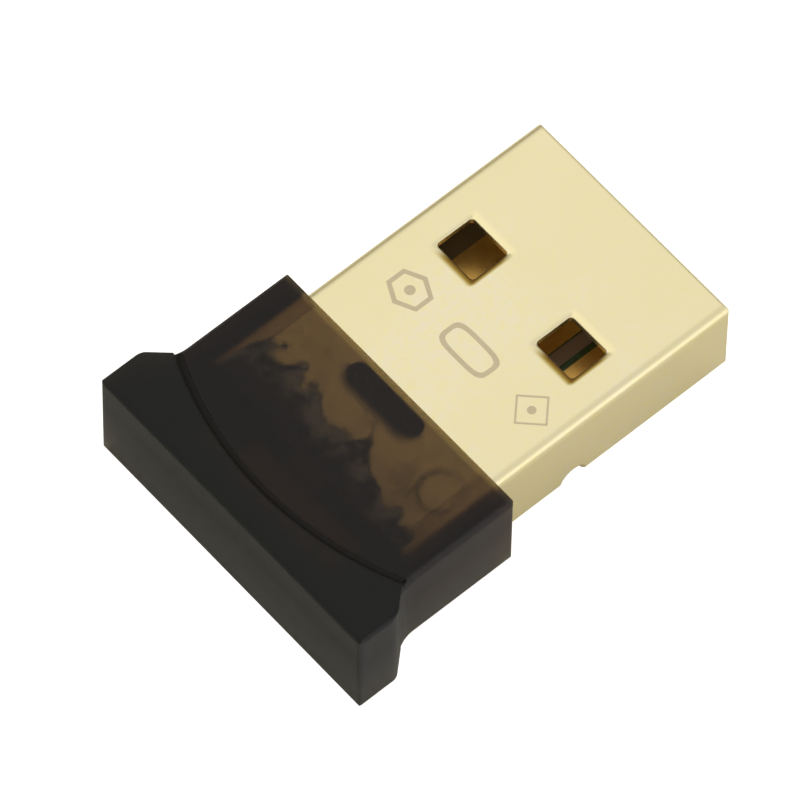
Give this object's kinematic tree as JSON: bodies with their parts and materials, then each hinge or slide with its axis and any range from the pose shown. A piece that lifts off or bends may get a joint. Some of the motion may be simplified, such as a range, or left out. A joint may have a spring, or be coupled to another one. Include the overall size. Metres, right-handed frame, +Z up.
{
  "type": "usb wireless adapter",
  "caption": "Nano wireless adapter: a smoky translucent cap with a wider rear grip on a gold type A plug, with a circuit board and contact fingers inside.",
  "frame": {"origin": "on the plug's centre line at the cap's front face, where the plug enters the cap", "axes": "+X along the plug to its tip, +Y across the plug, +Z up, away from the seam side of the plug"},
  "size_m": [0.022, 0.0164, 0.0054],
  "materials": {
    "smoky_plastic": "smoky translucent, satin",
    "gilt_steel": "gold flash plating, semi-bright",
    "dark_glue": "cured, dark",
    "green_board": "solder mask, satin",
    "black_nylon": "moulded, matt",
    "gilt_pad": "gold plated",
    "chip_black": "moulding compound, matt",
    "can_metal": "nickel plated",
    "white_ceramic": "fired ceramic",
    "bare_copper": "gilt copper",
    "lamp_resin": "clear resin",
    "grey_ferrite": "sintered, matt",
    "tan_ceramic": "fired ceramic, tinned ends",
    "black_ceramic": "glazed, tinned ends",
    "solder": "reflowed"
  },
  "bodies": {
    "root": {"housing": "smoky_plastic", "plug_shell": "gilt_steel", "cap_glue": "dark_glue", "circuit_board": "green_board", "board_carrier": "black_nylon", "supply_pad": "gilt_pad", "data_minus_pad": "gilt_pad", "data_plus_pad": "gilt_pad", "ground_pad": "gilt_pad", "radio_chip": "chip_black", "memory_chip": "chip_black", "regulator": "chip_black", "crystal": "can_metal", "antenna_filter": "white_ceramic", "antenna_track": "bare_copper", "status_led": "lamp_resin", "supply_bead": "grey_ferrite", "supply_capacitor": "tan_ceramic", "shell_solder_left": "solder", "shell_solder_right": "solder", "capacitor_1": "tan_ceramic", "capacitor_2": "tan_ceramic", "capacitor_3": "tan_ceramic", "capacitor_4": "tan_ceramic", "capacitor_5": "tan_ceramic", "capacitor_6": "tan_ceramic", "capacitor_7": "tan_ceramic", "resistor_1": "black_ceramic", "resistor_2": "black_ceramic", "resistor_3": "black_ceramic", "resistor_4": "black_ceramic"}
  },
  "joints": []
}
